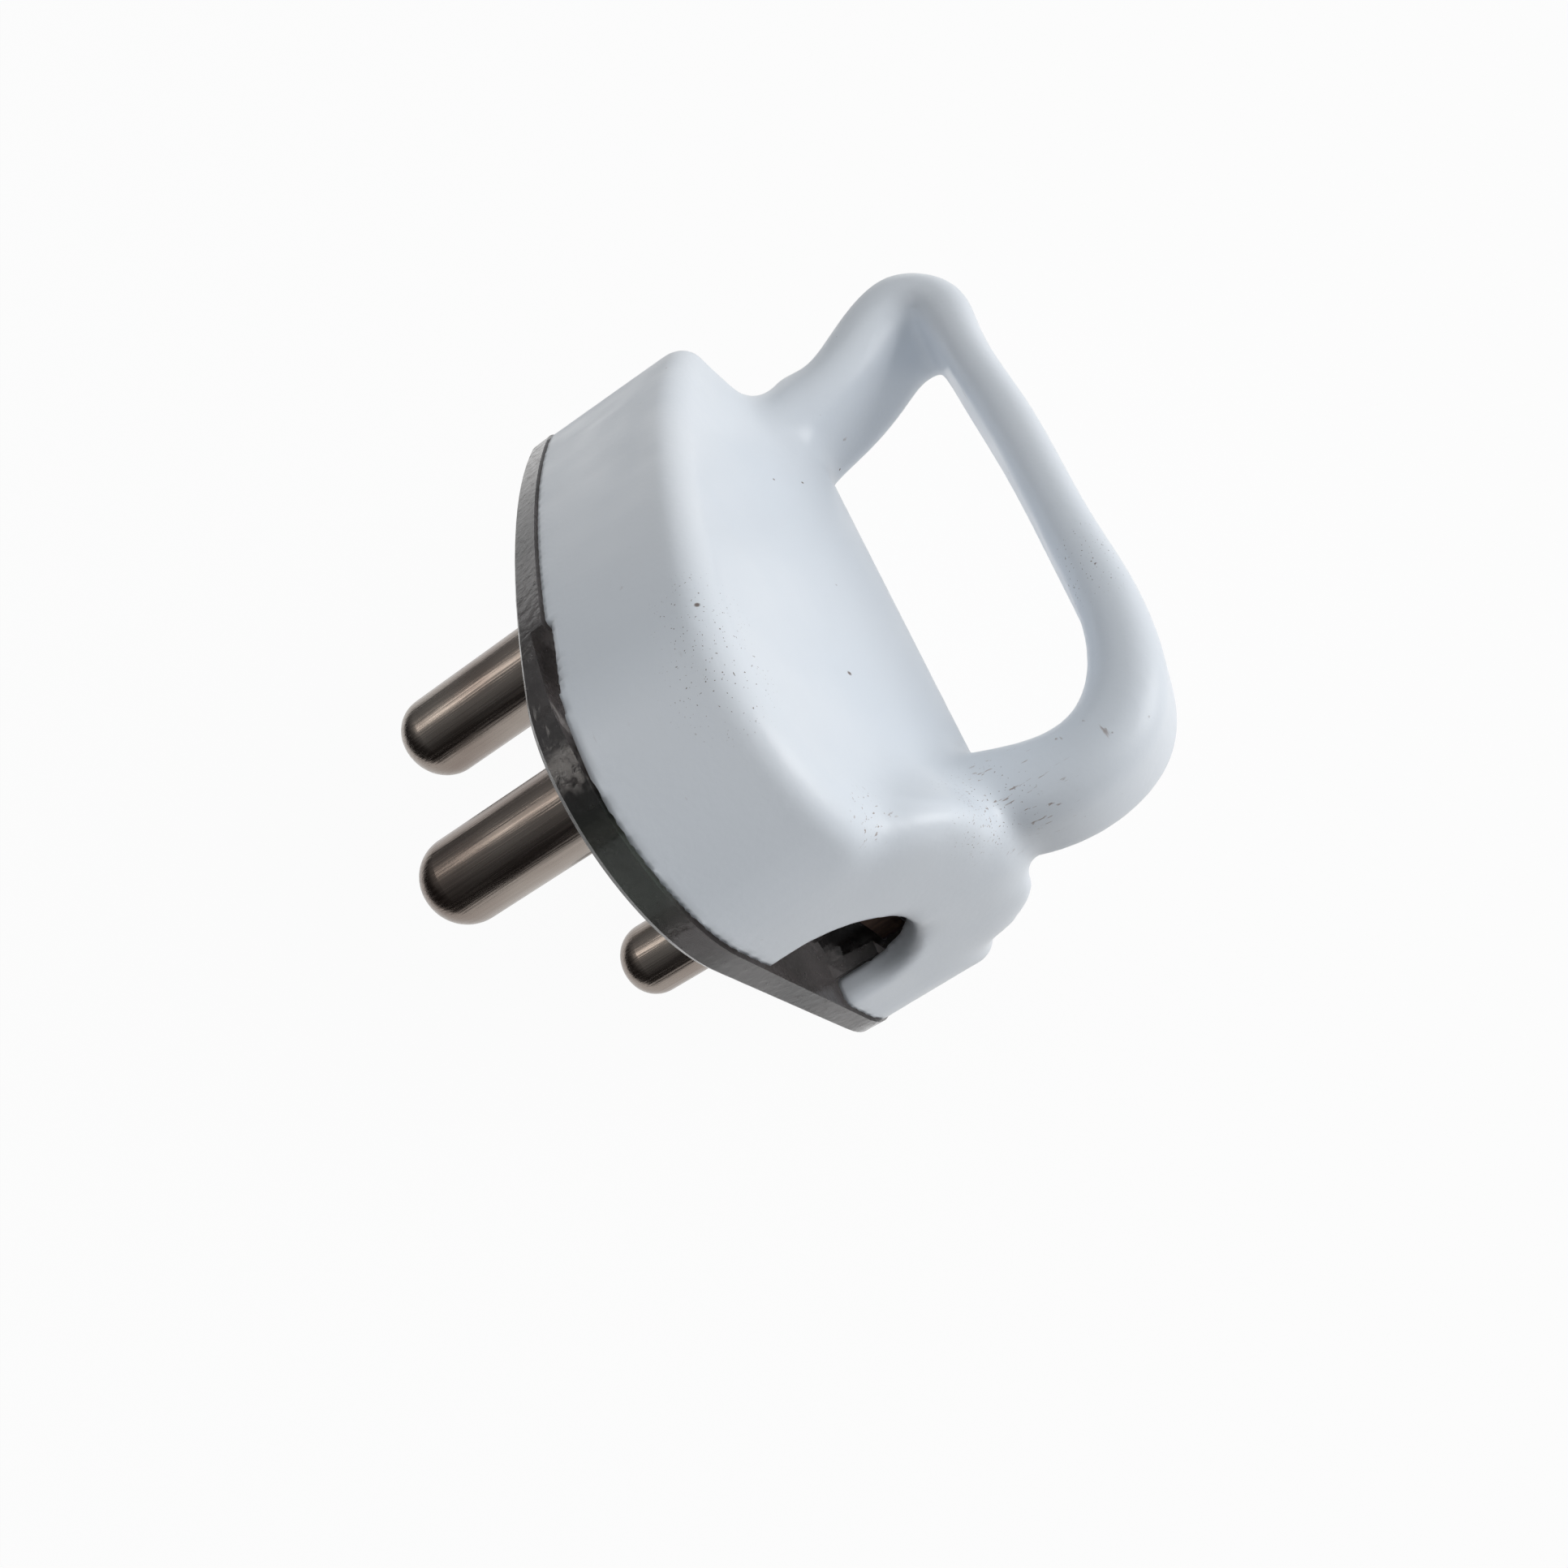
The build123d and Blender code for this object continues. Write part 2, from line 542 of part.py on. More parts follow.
cover.part.label = "cover"
export_step(cover.part, "parts/cover.step")
base_plate.part.label = "base_plate"
export_step(base_plate.part, "parts/base_plate.step")
pins["earth"].part.label = "earth_pin"
export_step(pins["earth"].part, "parts/earth_pin.step")
pins["line"].part.label = "line_pin"
export_step(pins["line"].part, "parts/line_pin.step")
pins["neutral"].part.label = "neutral_pin"
export_step(pins["neutral"].part, "parts/neutral_pin.step")
pins["earth screw"].part.label = "earth_terminal_screw"
export_step(pins["earth screw"].part, "parts/earth_terminal_screw.step")
pins["line screw"].part.label = "line_terminal_screw"
export_step(pins["line screw"].part, "parts/line_terminal_screw.step")
pins["neutral screw"].part.label = "neutral_terminal_screw"
export_step(pins["neutral screw"].part, "parts/neutral_terminal_screw.step")
join_screw.part.label = "join_screw"
export_step(join_screw.part, "parts/join_screw.step")
join_nut.part.label = "join_nut"
export_step(join_nut.part, "parts/join_nut.step")
cord_clamp.part.label = "cord_clamp"
export_step(cord_clamp.part, "parts/cord_clamp.step")
clamp_screws["near"].part.label = "near_clamp_screw"
export_step(clamp_screws["near"].part, "parts/near_clamp_screw.step")
clamp_screws["far"].part.label = "far_clamp_screw"
export_step(clamp_screws["far"].part, "parts/far_clamp_screw.step")
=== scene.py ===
# %% [markdown]
# # A three-pin plug with a finger loop
# The plug is a white moulded cover with a finger loop, a clear base plate and three
# plated pins. The CAD model has every solid already, so this lesson adds what CAD
# leaves out: the soft hollows of the cover, the finishes, the light and the camera.

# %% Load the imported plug
from math import cos, radians, sin

import bmesh
import bpy
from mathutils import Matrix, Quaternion, Vector
from mathutils.bvhtree import BVHTree


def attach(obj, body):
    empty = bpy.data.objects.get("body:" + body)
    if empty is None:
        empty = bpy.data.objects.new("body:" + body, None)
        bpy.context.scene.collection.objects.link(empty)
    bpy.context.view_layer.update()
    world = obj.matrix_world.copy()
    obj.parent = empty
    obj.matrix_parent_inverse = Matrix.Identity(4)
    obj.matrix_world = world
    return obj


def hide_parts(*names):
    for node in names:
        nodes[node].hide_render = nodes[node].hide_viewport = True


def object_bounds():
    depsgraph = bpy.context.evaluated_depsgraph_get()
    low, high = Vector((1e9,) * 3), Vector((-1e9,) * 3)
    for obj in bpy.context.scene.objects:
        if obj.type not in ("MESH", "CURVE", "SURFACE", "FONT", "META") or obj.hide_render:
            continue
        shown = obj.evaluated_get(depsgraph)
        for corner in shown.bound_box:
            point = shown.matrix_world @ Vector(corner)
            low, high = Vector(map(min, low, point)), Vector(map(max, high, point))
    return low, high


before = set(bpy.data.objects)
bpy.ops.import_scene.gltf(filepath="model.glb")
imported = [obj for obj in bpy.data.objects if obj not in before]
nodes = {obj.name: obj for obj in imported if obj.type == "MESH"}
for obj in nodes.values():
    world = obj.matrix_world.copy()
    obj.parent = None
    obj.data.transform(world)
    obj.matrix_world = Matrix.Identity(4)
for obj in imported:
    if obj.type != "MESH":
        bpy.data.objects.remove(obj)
cad_low, cad_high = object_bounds()
MM = 0.001
PLUG_TURN = radians(16.0)


def on_plug(along, height, across):
    """A place in the frame, from millimetres along, behind and across the plug's face."""
    return Vector((
        along * cos(PLUG_TURN) - across * sin(PLUG_TURN),
        height,
        along * sin(PLUG_TURN) + across * cos(PLUG_TURN),
    )) * MM


print("pieces:", sorted(nodes))
print("size in mm:", [round(c / MM, 1) for c in cad_high - cad_low])

# %% [markdown]
# ## Camera
# The camera was matched to the pins, whose sizes are known. It stands close to the
# plug and looks steeply down on it, which is why the loop looks so large beside the
# pins. A short lens at that distance gives the same strong perspective.

# %% Camera
CAMERA_PLACE = Vector((23.1, 23.4, 72.2)) * MM
CAMERA_LOOK = Vector((-0.3033, -0.2154, -0.9283))
CAMERA_ROLL = -65.45
LENS = 22.0
SENSOR_WIDTH = 36.0

camera_data = bpy.data.cameras.new("camera")
camera_data.lens = LENS
camera_data.sensor_width = SENSOR_WIDTH
camera_data.clip_start = 1 * MM
camera = bpy.data.objects.new("camera", camera_data)
camera.location = CAMERA_PLACE
camera.rotation_mode = "QUATERNION"
roll = Quaternion((0, 0, 1), radians(CAMERA_ROLL))
camera.rotation_quaternion = CAMERA_LOOK.to_track_quat("-Z", "Y") @ roll
bpy.context.scene.collection.objects.link(camera)
bpy.context.scene.camera = camera
print("camera stands", round(CAMERA_PLACE.z / MM, 1), "mm up")

# %% [markdown]
# ## Floor and light
# The plug lies on a plain pale floor. Seen by the camera the floor is nearly white, and
# still keeps a soft shadow, because only part of it glows. One broad soft lamp stands
# behind the plug's back and brightens the loop, and a weak one opens up the shade on
# the pins.
#
# The surround lights the plug brightly from the lamp's side and dimly from the other,
# and the plated pins mirror it, which gives them their dark and light streaks. The
# camera sees plain white in its place.

# %% Helpers for what a ray sees


def seen_by(tree, *kinds):
    """1 for these kinds of ray, and 0 for every other."""
    path = tree.nodes.new("ShaderNodeLightPath")
    seen = path.outputs[kinds[0]]
    for kind in kinds[1:]:
        either = tree.nodes.new("ShaderNodeMath")
        either.operation = "MAXIMUM"
        tree.links.new(seen, either.inputs[0])
        tree.links.new(path.outputs[kind], either.inputs[1])
        seen = either.outputs["Value"]
    return seen


def blend_shaders(tree, share, first, second, output):
    """The first shader with this share of the second, sent to the output's surface."""
    blend = tree.nodes.new("ShaderNodeMixShader")
    tree.links.new(share, blend.inputs["Fac"])
    tree.links.new(first.outputs[0], blend.inputs[1])
    tree.links.new(second.outputs[0], blend.inputs[2])
    tree.links.new(blend.outputs[0], output.inputs["Surface"])


# %% Floor
FLOOR_SIZE = 6.0
FLOOR_COLOUR = (0.86, 0.86, 0.86, 1)
FLOOR_GLOW = 0.95

floor_mesh = bpy.data.meshes.new("floor")
sheet = bmesh.new()
bmesh.ops.create_grid(sheet, x_segments=1, y_segments=1, size=FLOOR_SIZE / 2)
bmesh.ops.translate(sheet, verts=sheet.verts, vec=(0, 0, cad_low.z))
sheet.to_mesh(floor_mesh)
sheet.free()
floor = bpy.data.objects.new("floor", floor_mesh)
bpy.context.scene.collection.objects.link(floor)
floor_paper = bpy.data.materials.new("floor paper")
floor_paper.use_nodes = True
paper_tree = floor_paper.node_tree
paper_tree.nodes.clear()
paper_out = paper_tree.nodes.new("ShaderNodeOutputMaterial")
paper = paper_tree.nodes.new("ShaderNodeBsdfDiffuse")
paper.inputs["Color"].default_value = FLOOR_COLOUR
glow = paper_tree.nodes.new("ShaderNodeEmission")
share = paper_tree.nodes.new("ShaderNodeMath")
share.operation = "MULTIPLY"
share.inputs[1].default_value = FLOOR_GLOW
seen = seen_by(paper_tree, "Is Camera Ray", "Is Glossy Ray", "Is Transmission Ray")
paper_tree.links.new(seen, share.inputs[0])
blend_shaders(paper_tree, share.outputs["Value"], paper, glow, paper_out)
floor_mesh.materials.append(floor_paper)
print("floor lies at", round(cad_low.z / MM, 2), "mm")

# %% Lamps
BACK_LAMP_PLACE = (0.30, 0.78, 0.28)
BACK_LAMP_SIZE = 0.6
BACK_LAMP_POWER = 4.6
PIN_LAMP_PLACE = (-0.36, -0.36, 0.75)
PIN_LAMP_SIZE = 0.22
PIN_LAMP_POWER = 0.4
PIN_LAMP_COLOUR = (1.0, 0.95, 0.90)


def soft_lamp(name, place, size, power, colour=(1, 1, 1)):
    """A square lamp that faces the plug."""
    lamp_data = bpy.data.lights.new(name, "AREA")
    lamp_data.size = size
    lamp_data.energy = power
    lamp_data.color = colour
    lamp = bpy.data.objects.new(name, lamp_data)
    lamp.location = place
    lamp.rotation_euler = (-Vector(place)).to_track_quat("-Z", "Y").to_euler()
    bpy.context.scene.collection.objects.link(lamp)


soft_lamp("back lamp", BACK_LAMP_PLACE, BACK_LAMP_SIZE, BACK_LAMP_POWER)
soft_lamp("pin lamp", PIN_LAMP_PLACE, PIN_LAMP_SIZE, PIN_LAMP_POWER, PIN_LAMP_COLOUR)

# %% Surround
SURROUND_COLOUR = (0.95, 0.98, 1.0)
DIM_COLOUR = (0.05, 0.045, 0.045)
SURROUND_STRENGTH = 0.46
BRIGHT_SIDE = Vector((-0.35, 0.70, 0.60))
DIM_FROM = -0.3
BRIGHT_FROM = 0.75
BACKDROP_COLOUR = (0.97, 0.97, 0.97, 1)

world = bpy.data.worlds.new("studio")
world.use_nodes = True
world_tree = world.node_tree
surround = world_tree.nodes["Background"]
direction = world_tree.nodes.new("ShaderNodeTexCoord")
towards = world_tree.nodes.new("ShaderNodeVectorMath")
towards.operation = "DOT_PRODUCT"
towards.inputs[1].default_value = BRIGHT_SIDE.normalized()
side = world_tree.nodes.new("ShaderNodeMapRange")
side.interpolation_type = "SMOOTHSTEP"
side.inputs["From Min"].default_value = DIM_FROM
side.inputs["From Max"].default_value = BRIGHT_FROM
surround_mix = world_tree.nodes.new("ShaderNodeMix")
surround_mix.data_type = "RGBA"
surround_mix.inputs["A"].default_value = (*DIM_COLOUR, 1)
surround_mix.inputs["B"].default_value = (*SURROUND_COLOUR, 1)
world_tree.links.new(direction.outputs["Generated"], towards.inputs[0])
world_tree.links.new(towards.outputs["Value"], side.inputs["Value"])
world_tree.links.new(side.outputs["Result"], surround_mix.inputs["Factor"])
world_tree.links.new(surround_mix.outputs["Result"], surround.inputs["Color"])
surround.inputs["Strength"].default_value = SURROUND_STRENGTH
backdrop = world_tree.nodes.new("ShaderNodeBackground")
backdrop.inputs["Color"].default_value = BACKDROP_COLOUR
seen = seen_by(world_tree, "Is Camera Ray", "Is Transmission Ray")
blend_shaders(world_tree, seen, surround, backdrop, world_tree.nodes["World Output"])
bpy.context.scene.world = world
bpy.context.scene.view_settings.view_transform = "Standard"
print("surround is brightest towards", [round(c, 2) for c in BRIGHT_SIDE.normalized()])

# %% [markdown]
# ## Building a finish
# Each finish is a Principled shader with a few textures in front of it. The textures
# read the piece's own Object coordinates, in metres, so a grain has its real size.
# Masks pick a band of a texture or the space round one place, and a tint lays one
# colour over another where a mask says so.

# %% Helpers for finishes


def new_finish(name, colour, roughness, metallic=0.0):
    """A material with one Principled shader, returned with that shader."""
    material = bpy.data.materials.new(name)
    material.use_nodes = True
    shader = material.node_tree.nodes["Principled BSDF"]
    shader.inputs["Base Color"].default_value = (*colour, 1)
    shader.inputs["Roughness"].default_value = roughness
    shader.inputs["Metallic"].default_value = metallic
    return material, shader


def place_on_piece(tree, stretch=(1, 1, 1), turn=(0, 0, 0)):
    """Object coordinates, stretched and turned, in metres."""
    coordinate = tree.nodes.new("ShaderNodeTexCoord")
    mapping = tree.nodes.new("ShaderNodeMapping")
    mapping.inputs["Scale"].default_value = stretch
    mapping.inputs["Rotation"].default_value = [radians(t) for t in turn]
    tree.links.new(coordinate.outputs["Object"], mapping.inputs["Vector"])
    return mapping.outputs["Vector"]


def noise(tree, size, detail=3.0, stretch=(1, 1, 1), turn=(0, 0, 0)):
    """Noise whose features are about this size in metres."""
    texture = tree.nodes.new("ShaderNodeTexNoise")
    texture.inputs["Scale"].default_value = 1 / size
    texture.inputs["Detail"].default_value = detail
    tree.links.new(place_on_piece(tree, stretch, turn), texture.inputs["Vector"])
    return texture.outputs["Fac"]


def band(tree, value, low, high, to_low=0.0, to_high=1.0):
    """The value's stretch from low to high, spread over the new range."""
    ramp = tree.nodes.new("ShaderNodeMapRange")
    for socket, amount in zip(ramp.inputs[1:5], (low, high, to_low, to_high)):
        socket.default_value = amount
    tree.links.new(value, ramp.inputs["Value"])
    return ramp.outputs["Result"]


def tint(tree, fac, below, above):
    """A colour that goes from below to above with the mask."""
    mix = tree.nodes.new("ShaderNodeMix")
    mix.data_type = "RGBA"
    tree.links.new(fac, mix.inputs["Factor"])
    for socket, colour in ((mix.inputs["A"], below), (mix.inputs["B"], above)):
        if isinstance(colour, tuple):
            socket.default_value = (*colour, 1)
        else:
            tree.links.new(colour, socket)
    return mix.outputs["Result"]


def near(tree, place, reach):
    """A mask that is 1 at this place on the piece and fades out at its reach."""
    coordinate = tree.nodes.new("ShaderNodeTexCoord")
    gap = tree.nodes.new("ShaderNodeVectorMath")
    gap.operation = "DISTANCE"
    gap.inputs[1].default_value = place
    tree.links.new(coordinate.outputs["Object"], gap.inputs[0])
    return band(tree, gap.outputs["Value"], reach / 2, reach, 1.0, 0.0)


def times(tree, first, second):
    """Two masks multiplied."""
    product = tree.nodes.new("ShaderNodeMath")
    product.operation = "MULTIPLY"
    tree.links.new(first, product.inputs[0])
    tree.links.new(second, product.inputs[1])
    return product.outputs["Value"]


def rough_up(tree, shader, height, depth):
    """A bump of this depth in metres."""
    bump = tree.nodes.new("ShaderNodeBump")
    bump.inputs["Distance"].default_value = depth
    tree.links.new(height, bump.inputs["Height"])
    tree.links.new(bump.outputs["Normal"], shader.inputs["Normal"])


# %% [markdown]
# ## White moulding
# The cover is a cool white plastic, glossy but softened by handling. Its white is a
# little uneven, its gloss varies in patches, and small dark specks and scuffs sit
# where fingers and surfaces touch it: low on the loop and along the top of the walls.

# %% White moulding
WHITE = (0.80, 0.84, 0.89)
WHITE_SHADE = (0.76, 0.81, 0.87)
SPECK = (0.20, 0.16, 0.15)
SCUFF = (0.40, 0.35, 0.34)
CLOUD_SIZE = 22 * MM
SPECK_SPACING = 2.6 * MM
SPECK_EDGE = (0.035, 0.055)
HANDLED_PATCH = 9 * MM
HANDLED_EDGE = (0.52, 0.6)
SCUFF_LENGTH = 1.4 * MM
SCUFF_STRETCH = (0.25, 1.3, 1.3)
SCUFF_TURN = (0, -16, 25)
SCUFF_EDGE = (0.68, 0.72)
WORN_PATCH = 7 * MM
WORN_EDGE = (0.60, 0.68)

white_moulding, shader = new_finish("white moulding", WHITE, 0.34)
tree = white_moulding.node_tree
clouds = band(tree, noise(tree, CLOUD_SIZE, 2.0), 0.35, 0.7)
white = tint(tree, clouds, WHITE, WHITE_SHADE)
specks = tree.nodes.new("ShaderNodeTexVoronoi")
specks.inputs["Scale"].default_value = 1 / SPECK_SPACING
tree.links.new(place_on_piece(tree), specks.inputs["Vector"])
spot = band(tree, specks.outputs["Distance"], *SPECK_EDGE, 1.0, 0.0)
handled = band(tree, noise(tree, HANDLED_PATCH, 1.0), *HANDLED_EDGE)
white = tint(tree, times(tree, spot, handled), white, SPECK)
scuffs = noise(tree, SCUFF_LENGTH, 4.0, SCUFF_STRETCH, SCUFF_TURN)
worn = band(tree, noise(tree, WORN_PATCH, 2.0), *WORN_EDGE)
white = tint(tree, times(tree, band(tree, scuffs, *SCUFF_EDGE), worn), white, SCUFF)
print("specks about", round(SPECK_SPACING / MM, 1), "mm apart where it is handled")

# %% Marks at their places
# Each place has its reach. Strokes lie on the lower leg, where the plug is gripped, and
# fine grit along the wall's top edge and on the loop. Two darker specks stand alone.
STROKE_LENGTH = 0.42 * MM
STROKE_STRETCH = (1.7, 0.28, 1.7)
STROKE_TURN = (20, 0, 12)
STROKE_EDGE = (0.63, 0.67)
STROKE_PLACES = (
    (on_plug(13.8, 21.5, 4.5), 5.0 * MM),
    (on_plug(13.8, 14.3, 13.5), 2.2 * MM),
)
GRIT_SIZE = 0.17 * MM
GRIT_EDGE = (0.71, 0.74)
GRIT_PLACES = (
    (on_plug(1.5, 12.8, 23.5), 4.0 * MM),
    (on_plug(6.5, 12.2, 23.2), 4.5 * MM),
    (on_plug(0.1, 34.8, 4.6), 4.0 * MM),
    (on_plug(13.5, 20.0, 6.0), 4.5 * MM),
)
LONE_SPECKS = (
    (on_plug(1.5, 12.5, 23.8), 0.22 * MM),
    (on_plug(0.3, 16.7, 8.8), 0.24 * MM),
)

strokes = noise(tree, STROKE_LENGTH, 4.0, STROKE_STRETCH, STROKE_TURN)
strokes = band(tree, strokes, *STROKE_EDGE)
for place, reach in STROKE_PLACES:
    white = tint(tree, times(tree, strokes, near(tree, place, reach)), white, SCUFF)
grit = band(tree, noise(tree, GRIT_SIZE, 1.0), *GRIT_EDGE)
for place, reach in GRIT_PLACES:
    white = tint(tree, times(tree, grit, near(tree, place, reach)), white, SPECK)
for place, reach in LONE_SPECKS:
    white = tint(tree, near(tree, place, reach), white, SPECK)
tree.links.new(white, shader.inputs["Base Color"])
print("marks:", len(STROKE_PLACES) + len(GRIT_PLACES) + len(LONE_SPECKS), "places")

# %% Gloss of the white moulding
GLOSS_PATCH = 5 * MM
WHITE_ROUGHNESS = (0.28, 0.44)
WHITE_SHINE = 0.45
SKIN_GRAIN = 0.5 * MM
SKIN_GRAIN_DEPTH = 0.012 * MM

gloss = band(tree, noise(tree, GLOSS_PATCH, 4.0), 0.3, 0.7, *WHITE_ROUGHNESS)
tree.links.new(gloss, shader.inputs["Roughness"])
rough_up(tree, shader, noise(tree, SKIN_GRAIN, 3.0), SKIN_GRAIN_DEPTH)
shader.inputs["Specular IOR Level"].default_value = WHITE_SHINE
print("white moulding:", len(tree.nodes), "nodes")

# %% [markdown]
# ## Clear moulding
# The base plate is a clear plastic with a smoky tint. Light passes through it, and it
# sparkles where its inner walls are rough. Its tint is made far darker than the
# plastic's own: painted shade for the unlit hollow of the plug seen through it. The
# scar where the mould was fed stands out pale on the long rim, with a scratch beside it.

# %% Clear moulding
# The plate's colours are its smoky tint with painted shade. They are far darker than the
# plastic, and stand in for the unlit hollow seen through it.
SMOKE_AND_PAINTED_SHADE = (0.075, 0.064, 0.064)
DARKER_SMOKE_AND_PAINTED_SHADE = (0.04, 0.035, 0.034)
GREEN_SMOKE_AND_PAINTED_SHADE = (0.045, 0.055, 0.045)
SCAR = (0.62, 0.58, 0.55)
CLEARNESS = 0.78
ACRYLIC_IOR = 1.49
COVERAGE = 0.90
CLEAR_ROUGHNESS = (0.06, 0.34)
SMOKE_PATCH = 6 * MM
GREEN_PLACE, GREEN_REACH = on_plug(12.2, 0.9, 20.6), 6.0 * MM
GATE_PLACE, GATE_REACH = on_plug(6.9, 1.6, 23.9), 1.8 * MM
SCRATCH_PLACE, SCRATCH_REACH = on_plug(3.7, 0.8, 24.5), 2.4 * MM
SCRATCH_LENGTH = 0.9 * MM
SCRATCH_STRETCH = (0.3, 2.0, 1.0)
SCRATCH_TURN = (0, 0, 30)
SCRATCH_EDGE = (0.60, 0.64)
GRAIN_SIZE = 0.7 * MM
GRAIN_DEPTH = 0.05 * MM

clear_moulding, shader = new_finish("clear moulding", SMOKE_AND_PAINTED_SHADE, 0.12)
tree = clear_moulding.node_tree
shader.inputs["Transmission Weight"].default_value = CLEARNESS
shader.inputs["IOR"].default_value = ACRYLIC_IOR
shader.inputs["Alpha"].default_value = COVERAGE
patches = band(tree, noise(tree, SMOKE_PATCH, 3.0), 0.35, 0.65)
smoke_and_painted_shade = tint(tree, patches, SMOKE_AND_PAINTED_SHADE, DARKER_SMOKE_AND_PAINTED_SHADE)
smoke_and_painted_shade = tint(tree, near(tree, GREEN_PLACE, GREEN_REACH), smoke_and_painted_shade, GREEN_SMOKE_AND_PAINTED_SHADE)
grain = noise(tree, GRAIN_SIZE, 5.0)
crumbs = band(tree, grain, 0.45, 0.6)
gate_scar = times(tree, near(tree, GATE_PLACE, GATE_REACH), crumbs)
scores = noise(tree, SCRATCH_LENGTH, 3.0, SCRATCH_STRETCH, SCRATCH_TURN)
scores = band(tree, scores, *SCRATCH_EDGE)
scratch = times(tree, near(tree, SCRATCH_PLACE, SCRATCH_REACH), scores)
for mark in (gate_scar, scratch):
    smoke_and_painted_shade = tint(tree, mark, smoke_and_painted_shade, SCAR)
# The plate's colour goes to the shader, with the painted shade of the hollow in it.
tree.links.new(smoke_and_painted_shade, shader.inputs["Base Color"])
frost = band(tree, grain, 0.4, 0.75, *CLEAR_ROUGHNESS)
tree.links.new(frost, shader.inputs["Roughness"])
rough_up(tree, shader, grain, GRAIN_DEPTH)
print("clear moulding:", len(tree.nodes), "nodes")

# %% [markdown]
# ## Plated pins
# The pins are turned brass under a bright nickel plate. Fine brushing runs lengthwise,
# so highlights draw out into long streaks, and the plate has a warm, slightly
# tarnished tone between them.

# %% Plated pins
NICKEL = (0.36, 0.32, 0.285)
NICKEL_WORN = (0.24, 0.195, 0.17)
BRUSHING_SIZE = 1 * MM
BRUSHING_STRETCH = (5, 0.12, 5)
BRUSHING_DEPTH = 0.02 * MM
PLATE_ROUGHNESS = (0.16, 0.34)
TARNISH_PATCH = 8 * MM
TARNISH_STRETCH = (1, 0.6, 1)

nickel_plate, shader = new_finish("nickel plate", NICKEL, 0.24, 1.0)
tree = nickel_plate.node_tree
brushing = noise(tree, BRUSHING_SIZE, 6.0, BRUSHING_STRETCH)
tarnish = noise(tree, TARNISH_PATCH, 3.0, TARNISH_STRETCH)
metal = tint(tree, band(tree, tarnish, 0.35, 0.7), NICKEL, NICKEL_WORN)
tree.links.new(metal, shader.inputs["Base Color"])
sheen = band(tree, brushing, 0.3, 0.7, *PLATE_ROUGHNESS)
tree.links.new(sheen, shader.inputs["Roughness"])
rough_up(tree, shader, brushing, BRUSHING_DEPTH)
print("nickel plate:", len(tree.nodes), "nodes")

# %% [markdown]
# ## Screws, nut and clamp
# The pieces inside are seen only through the cord entry and the clear plate: turned
# brass terminal screws and nut, zinc-plated steel screws and a clamp of dark
# pressed fibre. They get the same kind of finish, worked out more simply.

# %% Metal for screws
BRASS = (0.72, 0.53, 0.25)
BRASS_DULL = (0.45, 0.32, 0.15)
ZINC = (0.62, 0.62, 0.63)
ZINC_DULL = (0.40, 0.39, 0.38)
DULL_PATCH = 2 * MM
RING_SIZE = 0.6 * MM
RING_STRETCH = (0.2, 6, 0.2)
RING_DEPTH = 0.02 * MM


def turned_metal(name, bright, dull, roughness):
    """Turned metal: fine rings round the screw's axis, with duller patches."""
    material, shader = new_finish(name, bright, roughness, 1.0)
    tree = material.node_tree
    patches = band(tree, noise(tree, DULL_PATCH, 3.0), 0.35, 0.7)
    tree.links.new(tint(tree, patches, bright, dull), shader.inputs["Base Color"])
    rings = noise(tree, RING_SIZE, 3.0, RING_STRETCH)
    sheen = band(tree, rings, 0.3, 0.7, roughness - 0.08, roughness + 0.12)
    tree.links.new(sheen, shader.inputs["Roughness"])
    rough_up(tree, shader, rings, RING_DEPTH)
    return material


screw_brass = turned_metal("screw brass", BRASS, BRASS_DULL, 0.28)
screw_steel = turned_metal("screw steel", ZINC, ZINC_DULL, 0.30)
print("turned metals:", screw_brass.name, "and", screw_steel.name)

# %% Pressed fibre
FIBRE = (0.16, 0.10, 0.08)
FIBRE_PALE = (0.30, 0.20, 0.15)
STRAND_SIZE = 0.8 * MM
STRAND_STRETCH = (3, 0.5, 1)
STRAND_DEPTH = 0.04 * MM

pressed_fibre, shader = new_finish("pressed fibre", FIBRE, 0.6)
tree = pressed_fibre.node_tree
strands = noise(tree, STRAND_SIZE, 5.0, STRAND_STRETCH)
fibre = tint(tree, band(tree, strands, 0.4, 0.75), FIBRE, FIBRE_PALE)
tree.links.new(fibre, shader.inputs["Base Color"])
rough_up(tree, shader, strands, STRAND_DEPTH)
print("pressed fibre:", len(tree.nodes), "nodes")

# %% [markdown]
# ## Cover with soft roots
# On the real cover the loop's two legs melt into the back in soft hollows. Fillets of
# that kind change width all the way round, which CAD does badly, so the cover is made
# again here from its own solid. A fine even skin is laid over it and put back on the
# solid's faces. Then the hollows round each leg are filled a little at a time, by
# smoothing only what is sunken, and the top edge at the cable end is smoothed round.
# Everywhere else the skin follows the solid, and only sharp edges lose a little: no more
# than the width of one of its small faces.

# %% Fine skin over the cover
SKIN_STEP = 0.42 * MM
SAME_POINT = 0.002 * MM

solid = bmesh.new()
solid.from_mesh(nodes["cover"].data)
bmesh.ops.remove_doubles(solid, verts=solid.verts, dist=SAME_POINT)
skin_mesh = bpy.data.meshes.new("cover_skin")
solid.to_mesh(skin_mesh)
true_faces = BVHTree.FromBMesh(solid)
solid.free()
cover_skin = bpy.data.objects.new("cover_skin", skin_mesh)
bpy.context.scene.collection.objects.link(cover_skin)
remesh = cover_skin.modifiers.new("even skin", "REMESH")
remesh.mode = "VOXEL"
remesh.voxel_size = SKIN_STEP
evaluated = cover_skin.evaluated_get(bpy.context.evaluated_depsgraph_get())
even_mesh = bpy.data.meshes.new_from_object(evaluated)
cover_skin.modifiers.clear()
print("skin:", len(even_mesh.vertices), "points")

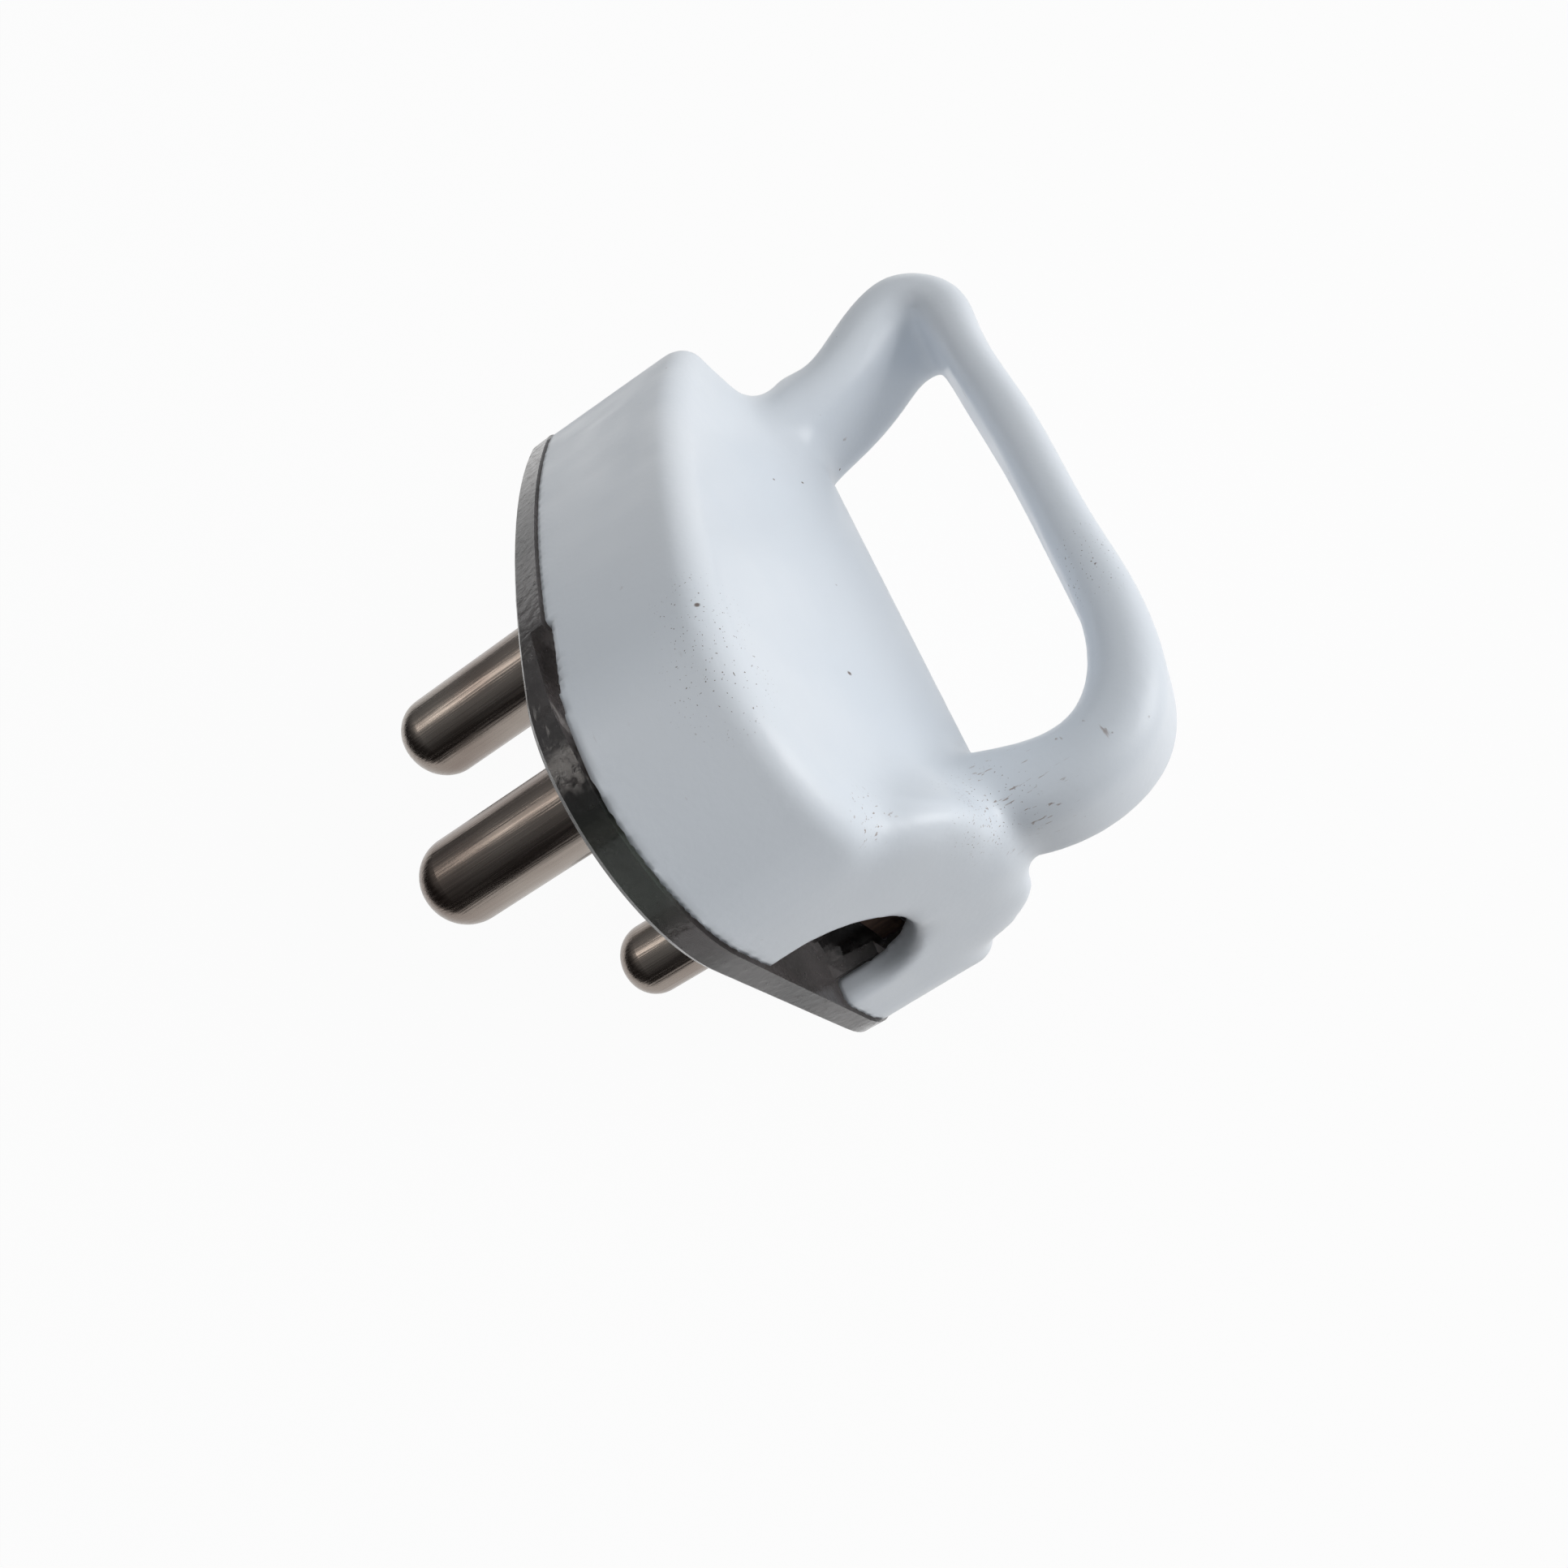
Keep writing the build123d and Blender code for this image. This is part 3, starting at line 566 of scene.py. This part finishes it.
# %% Soften the skin round the legs and the cable end
# Each place has a reach, a number of passes, and whether only hollows are filled.
SMOOTHING = 0.5
SOFT_PLACES = (
    (on_plug(-31.0, 17.5, 0), 12.0 * MM, 50, True),
    (on_plug(12.5, 15.0, 11.0), 8.0 * MM, 90, True),
    (on_plug(12.5, 15.0, -11.0), 8.0 * MM, 90, True),
    (on_plug(10.5, 20.0, 0), 11.0 * MM, 60, True),
    (on_plug(16.0, 16.0, 3.5), 5.5 * MM, 45, False),
    (on_plug(16.0, 16.0, -3.5), 5.5 * MM, 45, False),
    (on_plug(15.5, 14.5, 9.0), 5.5 * MM, 45, False),
    (on_plug(15.5, 14.5, -9.0), 5.5 * MM, 45, False),
)


def soften(skin, centre, reach, passes, only_hollows):
    """Smooth the skin in a ball that shrinks to half its reach as the passes go by."""
    around = [v for v in skin.verts if (v.co - centre).length < reach]
    for step in range(passes):
        skin.normal_update()
        limit = reach * (1 - step / passes / 2)
        softened = []
        for v in around:
            if (v.co - centre).length > limit:
                continue
            ring = [e.other_vert(v).co for e in v.link_edges]
            middle = sum(ring, Vector()) / len(ring)
            if not only_hollows or (middle - v.co).dot(v.normal) > 0:
                softened.append(v)
        bmesh.ops.smooth_vert(
            skin,
            verts=softened,
            factor=SMOOTHING,
            use_axis_x=True,
            use_axis_y=True,
            use_axis_z=True,
        )


# %% Work the skin
skin = bmesh.new()
skin.from_mesh(even_mesh)
bpy.data.meshes.remove(even_mesh)
bmesh.ops.recalc_face_normals(skin, faces=skin.faces)
for point in skin.verts:
    place, _, _, gap = true_faces.find_nearest(point.co)
    if gap < SKIN_STEP:
        point.co = place
for centre, reach, passes, only_hollows in SOFT_PLACES:
    soften(skin, centre, reach, passes, only_hollows)
for face in skin.faces:
    face.smooth = True
skin.to_mesh(skin_mesh)
skin.free()
skin_mesh.materials.append(white_moulding)
print("cover skin:", len(skin_mesh.vertices), "points,", len(skin_mesh.polygons), "faces")
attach(cover_skin, "root")
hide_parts("cover")

# %% [markdown]
# ## Dressing the pieces
# Each of the other pieces takes one finish for its whole surface.

# %% Dress the pieces
FINISHES = {
    "base_plate": clear_moulding,
    "earth_pin": nickel_plate,
    "line_pin": nickel_plate,
    "neutral_pin": nickel_plate,
    "earth_terminal_screw": screw_brass,
    "line_terminal_screw": screw_brass,
    "neutral_terminal_screw": screw_brass,
    "join_nut": screw_brass,
    "join_screw": screw_steel,
    "near_clamp_screw": screw_steel,
    "far_clamp_screw": screw_steel,
    "cord_clamp": pressed_fibre,
}
for name, finish in FINISHES.items():
    piece = nodes[name]
    piece.data.materials.clear()
    piece.data.materials.append(finish)
print("dressed", len(FINISHES), "of", len(nodes), "pieces")
